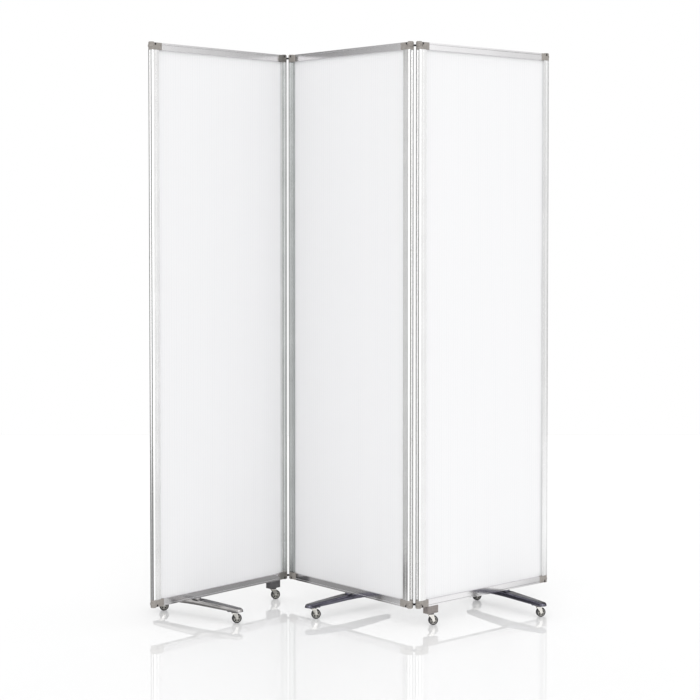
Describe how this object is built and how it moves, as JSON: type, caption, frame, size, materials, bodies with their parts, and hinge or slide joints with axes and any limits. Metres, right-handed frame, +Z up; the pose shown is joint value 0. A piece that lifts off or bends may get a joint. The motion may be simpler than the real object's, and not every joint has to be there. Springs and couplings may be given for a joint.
{
  "type": "folding privacy screen",
  "caption": "Three-panel folding ward privacy screen with translucent sheets in metal frames, pivot-linked corner caps, cross feet and swivel casters.",
  "frame": {"origin": "on the floor under the middle of the bounding box of the standing screen", "axes": "+X to the right along the zigzag, +Y to the back, +Z up"},
  "size_m": [1.289, 0.465, 1.8045],
  "materials": {
    "anodised_aluminium": "satin silver anodised extrusion",
    "cap_nylon": "moulded mid grey nylon",
    "twinwall_sheet": "translucent white twin-wall sheet",
    "blackened_steel": "blackened steel",
    "polished_casting": "polished metal casting",
    "zinc_plated_steel": "zinc plated steel",
    "bracket_nylon": "moulded grey nylon",
    "caster_steel": "dark plated pressed steel",
    "chromed_steel": "chromed pressed steel",
    "grey_rubber": "dark grey rubber tyre on a light hub"
  },
  "bodies": {
    "centre_panel": {"centre_left_post": "anodised_aluminium", "centre_right_post": "anodised_aluminium", "centre_bottom_rail": "anodised_aluminium", "centre_top_rail": "anodised_aluminium", "centre_sheet": "twinwall_sheet", "centre_cap_top_left": "cap_nylon", "centre_cap_top_right": "cap_nylon", "centre_cap_bottom_left": "cap_nylon", "centre_cap_bottom_right": "cap_nylon", "centre_foot": "polished_casting", "centre_foot_bolt": "zinc_plated_steel", "centre_front_caster_mount": "caster_steel"},
    "left_links": {"left_hinge_link_top": "blackened_steel", "left_hinge_link_bottom": "blackened_steel"},
    "left_panel": {"left_left_post": "anodised_aluminium", "left_right_post": "anodised_aluminium", "left_bottom_rail": "anodised_aluminium", "left_top_rail": "anodised_aluminium", "left_sheet": "twinwall_sheet", "left_cap_top_left": "cap_nylon", "left_cap_top_right": "cap_nylon", "left_cap_bottom_left": "cap_nylon", "left_cap_bottom_right": "cap_nylon", "left_foot": "polished_casting", "left_foot_bolt": "zinc_plated_steel", "left_front_caster_mount": "caster_steel", "left_rear_caster_mount": "caster_steel", "left_caster_bracket": "bracket_nylon", "left_hinge_caster_mount": "caster_steel"},
    "right_links": {"right_hinge_link_top": "blackened_steel", "right_hinge_link_bottom": "blackened_steel"},
    "right_panel": {"right_left_post": "anodised_aluminium", "right_right_post": "anodised_aluminium", "right_bottom_rail": "anodised_aluminium", "right_top_rail": "anodised_aluminium", "right_sheet": "twinwall_sheet", "right_cap_top_left": "cap_nylon", "right_cap_top_right": "cap_nylon", "right_cap_bottom_left": "cap_nylon", "right_cap_bottom_right": "cap_nylon", "right_foot": "polished_casting", "right_foot_bolt": "zinc_plated_steel", "right_front_caster_mount": "caster_steel", "right_rear_caster_mount": "caster_steel", "right_caster_bracket": "bracket_nylon", "right_hinge_caster_mount": "caster_steel"},
    "left_front_fork": {"left_front_caster_fork": "chromed_steel"},
    "left_front_wheel": {"left_front_caster_wheel": "grey_rubber"},
    "left_rear_fork": {"left_rear_caster_fork": "chromed_steel"},
    "left_rear_wheel": {"left_rear_caster_wheel": "grey_rubber"},
    "left_hinge_fork": {"left_hinge_caster_fork": "chromed_steel"},
    "left_hinge_wheel": {"left_hinge_caster_wheel": "grey_rubber"},
    "right_front_fork": {"right_front_caster_fork": "chromed_steel"},
    "right_front_wheel": {"right_front_caster_wheel": "grey_rubber"},
    "right_rear_fork": {"right_rear_caster_fork": "chromed_steel"},
    "right_rear_wheel": {"right_rear_caster_wheel": "grey_rubber"},
    "right_hinge_fork": {"right_hinge_caster_fork": "chromed_steel"},
    "right_hinge_wheel": {"right_hinge_caster_wheel": "grey_rubber"},
    "centre_front_fork": {"centre_front_caster_fork": "chromed_steel"},
    "centre_front_wheel": {"centre_front_caster_wheel": "grey_rubber"}
  },
  "joints": [
    {"name": "left_inner_pivot", "type": "hinge", "parent": "centre_panel", "child": "left_links", "pos_m": [-0.20176, 0.22161, 0], "axis": [0, 0, 1], "range_deg": [-138.75, 41.25]},
    {"name": "left_outer_pivot", "type": "hinge", "parent": "left_links", "child": "left_panel", "pos_m": [-0.22776, 0.2219, 0], "axis": [0, 0, 1], "range_deg": [-138.75, 41.25]},
    {"name": "right_inner_pivot", "type": "hinge", "parent": "centre_panel", "child": "right_links", "pos_m": [0.17699, -0.22029, 0], "axis": [0, 0, 1], "range_deg": [-135.8, 44.2]},
    {"name": "right_outer_pivot", "type": "hinge", "parent": "right_links", "child": "right_panel", "pos_m": [0.20294, -0.22192, 0], "axis": [0, 0, 1], "range_deg": [-135.8, 44.2]},
    {"name": "left_front_swivel", "type": "hinge", "parent": "left_panel", "child": "left_front_fork", "pos_m": [-0.3698, -0.16106, 0], "axis": [0, 0, 1], "continuous": true},
    {"name": "left_front_spin", "type": "hinge", "parent": "left_front_fork", "child": "left_front_wheel", "pos_m": [-0.36219, -0.15859, 0.015], "axis": [-0.309, 0.9511, 0], "continuous": true},
    {"name": "left_rear_swivel", "type": "hinge", "parent": "left_panel", "child": "left_rear_fork", "pos_m": [-0.61597, 0.01388, 0], "axis": [0, 0, 1], "continuous": true},
    {"name": "left_rear_spin", "type": "hinge", "parent": "left_rear_fork", "child": "left_rear_wheel", "pos_m": [-0.60815, 0.01554, 0.015], "axis": [-0.2079, 0.9781, 0], "continuous": true},
    {"name": "left_hinge_swivel", "type": "hinge", "parent": "left_panel", "child": "left_hinge_fork", "pos_m": [-0.26349, 0.18208, 0], "axis": [0, 0, 1], "continuous": true},
    {"name": "left_hinge_spin", "type": "hinge", "parent": "left_hinge_fork", "child": "left_hinge_wheel", "pos_m": [-0.25597, 0.18482, 0.015], "axis": [-0.342, 0.9397, 0], "continuous": true},
    {"name": "right_front_swivel", "type": "hinge", "parent": "right_panel", "child": "right_front_fork", "pos_m": [0.58938, -0.07472, 0], "axis": [0, 0, 1], "continuous": true},
    {"name": "right_front_spin", "type": "hinge", "parent": "right_front_fork", "child": "right_front_wheel", "pos_m": [0.59714, -0.07279, 0.015], "axis": [-0.2419, 0.9703, 0], "continuous": true},
    {"name": "right_rear_swivel", "type": "hinge", "parent": "right_panel", "child": "right_rear_fork", "pos_m": [0.4047, 0.16423, 0], "axis": [0, 0, 1], "continuous": true},
    {"name": "right_rear_spin", "type": "hinge", "parent": "right_rear_fork", "child": "right_rear_wheel", "pos_m": [0.41212, 0.16722, 0.015], "axis": [-0.3746, 0.9272, 0], "continuous": true},
    {"name": "right_hinge_swivel", "type": "hinge", "parent": "right_panel", "child": "right_hinge_fork", "pos_m": [0.24257, -0.18599, 0], "axis": [0, 0, 1], "continuous": true},
    {"name": "right_hinge_spin", "type": "hinge", "parent": "right_hinge_fork", "child": "right_hinge_wheel", "pos_m": [0.25026, -0.18378, 0.015], "axis": [-0.2756, 0.9613, 0], "continuous": true},
    {"name": "centre_front_swivel", "type": "hinge", "parent": "centre_panel", "child": "centre_front_fork", "pos_m": [-0.12354, -0.10155, 0], "axis": [0, 0, 1], "continuous": true},
    {"name": "centre_front_spin", "type": "hinge", "parent": "centre_front_fork", "child": "centre_front_wheel", "pos_m": [-0.11566, -0.10016, 0.015], "axis": [-0.1736, 0.9848, 0], "continuous": true}
  ]
}
